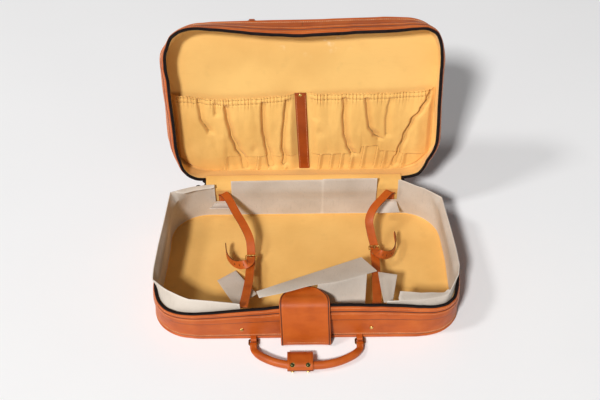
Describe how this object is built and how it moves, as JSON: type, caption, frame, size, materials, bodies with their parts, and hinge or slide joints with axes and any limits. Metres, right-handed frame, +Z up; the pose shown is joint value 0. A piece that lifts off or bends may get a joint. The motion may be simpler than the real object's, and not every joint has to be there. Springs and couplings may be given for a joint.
{
  "type": "leather suitcase",
  "caption": "Open rectangular leather suitcase with rounded corners, zip-round lid, front flap, round carry handles, inner tie-down straps, card stiffeners and gathered lid pockets.",
  "frame": {"origin": "centre of the base's underside, on the floor", "axes": "+X to the right along the hinge, +Y from the handle side to the hinge side, +Z up"},
  "size_m": [0.58, 0.5708, 0.4219],
  "materials": {
    "tan_leather": "smooth full-grain leather, satin",
    "strap_leather": "smooth leather, satin",
    "yellow_lining": "matt cotton lining",
    "greyboard": "matt greyboard",
    "zip_black": "matt black zip",
    "brass": "polished brass",
    "snap_bronze": "dark antiqued brass"
  },
  "bodies": {
    "case_base": {"base_panel": "tan_leather", "base_floor_board": "greyboard", "base_floor_lining": "yellow_lining", "base_welt": "tan_leather", "base_wall_left": "tan_leather", "base_wall_right": "tan_leather", "base_wall_lining": "yellow_lining", "base_rim_band": "tan_leather", "zip_chain_base": "zip_black", "hinge_leather_base": "tan_leather", "card_collar_left": "greyboard", "card_collar_right": "greyboard", "card_front_piece": "greyboard", "rear_strap_left": "strap_leather", "rear_strap_right": "strap_leather", "buckle_strap_left": "strap_leather", "buckle_strap_right": "strap_leather", "buckle_left": "brass", "buckle_right": "brass", "strap_rivet_left": "brass", "strap_rivet_right": "brass", "base_chape_left": "strap_leather", "base_chape_right": "strap_leather", "flap_root": "tan_leather"},
    "lid": {"lid_panel": "tan_leather", "lid_board": "greyboard", "lid_panel_lining": "yellow_lining", "lid_welt": "tan_leather", "lid_wall_left": "tan_leather", "lid_wall_right": "tan_leather", "lid_wall_lining": "yellow_lining", "lid_rim_band": "tan_leather", "zip_chain_lid": "zip_black", "hinge_leather_lid": "tan_leather", "pocket_left": "yellow_lining", "pocket_right": "yellow_lining", "pocket_strap": "strap_leather", "pocket_rivet": "brass", "lid_chape_left": "strap_leather", "lid_chape_right": "strap_leather"},
    "flap": {"flap_lower": "tan_leather"},
    "flap_tip": {"flap_tip": "tan_leather"},
    "base_handle": {"base_handle": "tan_leather", "base_ring_left": "brass", "base_ring_right": "brass", "grip_wrap": "tan_leather", "snap_stud_left": "brass", "snap_stud_right": "brass"},
    "grip_wrap_flap": {"grip_wrap_flap": "tan_leather", "snap_cap_left": "snap_bronze", "snap_cap_right": "snap_bronze"},
    "lid_handle": {"lid_handle": "tan_leather", "lid_ring_left": "brass", "lid_ring_right": "brass"},
    "buckle_tongue_left": {"buckle_tongue_left": "brass"},
    "buckle_tongue_right": {"buckle_tongue_right": "brass"},
    "zip_slider_left": {"zip_slider_left": "zip_black"},
    "zip_slider_right": {"zip_slider_right": "zip_black"},
    "zip_pull_left": {"zip_pull_left": "brass"},
    "zip_pull_right": {"zip_pull_right": "brass"}
  },
  "joints": [
    {"name": "lid_hinge", "type": "hinge", "parent": "case_base", "child": "lid", "pos_m": [0, 0.1725, 0.09], "axis": [-1, 0, 0], "range_deg": [-101, 0]},
    {"name": "flap_swing", "type": "hinge", "parent": "case_base", "child": "flap", "pos_m": [0, -0.1878, 0.003], "axis": [1, 0, 0], "range_deg": [0, 40]},
    {"name": "flap_bend", "type": "hinge", "parent": "flap", "child": "flap_tip", "pos_m": [0, -0.1683, 0.0923], "axis": [1, 0, 0], "range_deg": [0, 94]},
    {"name": "base_handle_turn", "type": "hinge", "parent": "case_base", "child": "base_handle", "pos_m": [0, -0.18, 0.006], "axis": [1, 0, 0], "range_deg": [-60, 0]},
    {"name": "grip_wrap_open", "type": "hinge", "parent": "base_handle", "child": "grip_wrap_flap", "pos_m": [0, -0.2145, 0.0095], "axis": [-1, 0, 0], "range_deg": [0, 50]},
    {"name": "lid_handle_turn", "type": "hinge", "parent": "lid", "child": "lid_handle", "pos_m": [0, 0.30149, 0.40772], "axis": [1, 0, 0], "range_deg": [-5, 177]},
    {"name": "buckle_tongue_left_turn", "type": "hinge", "parent": "case_base", "child": "buckle_tongue_left", "pos_m": [-0.1095, 0.004, 0.033], "axis": [1, 0, 0], "range_deg": [0, 25]},
    {"name": "buckle_tongue_right_turn", "type": "hinge", "parent": "case_base", "child": "buckle_tongue_right", "pos_m": [0.142, 0.024, 0.036], "axis": [1, 0, 0], "range_deg": [0, 25]},
    {"name": "zip_slider_left_run", "type": "hinge", "parent": "case_base", "child": "zip_slider_left", "pos_m": [-0.2, 0.0825, 0.09], "axis": [0, 0, 1], "range_deg": [0, 70]},
    {"name": "zip_slider_right_run", "type": "hinge", "parent": "case_base", "child": "zip_slider_right", "pos_m": [0.2, 0.0825, 0.09], "axis": [0, 0, -1], "range_deg": [0, 70]},
    {"name": "zip_pull_left_swing", "type": "hinge", "parent": "zip_slider_left", "child": "zip_pull_left", "pos_m": [-0.22285, 0.16779, 0.0851], "axis": [0.9659, 0.2588, 0], "range_deg": [0, 75]},
    {"name": "zip_pull_right_swing", "type": "hinge", "parent": "zip_slider_right", "child": "zip_pull_right", "pos_m": [0.22285, 0.16779, 0.0851], "axis": [0.9659, -0.2588, 0], "range_deg": [0, 75]}
  ],
  "couplings": [
    {"joint": "flap_bend", "follows": "lid_hinge", "ratio": -0.93}
  ]
}
